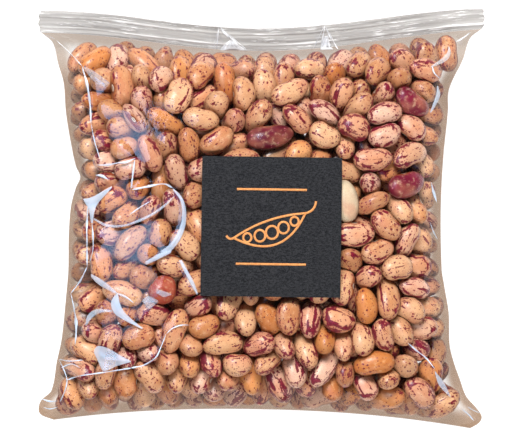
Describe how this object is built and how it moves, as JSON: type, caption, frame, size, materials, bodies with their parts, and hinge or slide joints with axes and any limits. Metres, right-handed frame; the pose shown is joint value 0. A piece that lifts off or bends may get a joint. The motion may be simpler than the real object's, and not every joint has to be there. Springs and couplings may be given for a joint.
{
  "type": "bag of dried beans",
  "caption": "Clear press-to-close bag packed full of dried speckled beans, with a plain dark square paper label, lying on its back.",
  "frame": {"origin": "under the middle of the bag, on the surface that it lies on", "axes": "+X across the bag, +Y up the bag from its bottom fold to its closing strip, +Z out of the surface it lies on, towards the label"},
  "size_m": [0.1966, 0.1842, 0.0392],
  "materials": {
    "bean_fill": "satin skin of dried beans under clear film",
    "clear_film": "clear glossy film, greyish where it is doubled",
    "label_paper": "matt charcoal paper with copper lines"
  },
  "bodies": {
    "root": {"filled_bag": "bean_fill", "closing_strip": "clear_film", "label": "label_paper"}
  },
  "joints": []
}
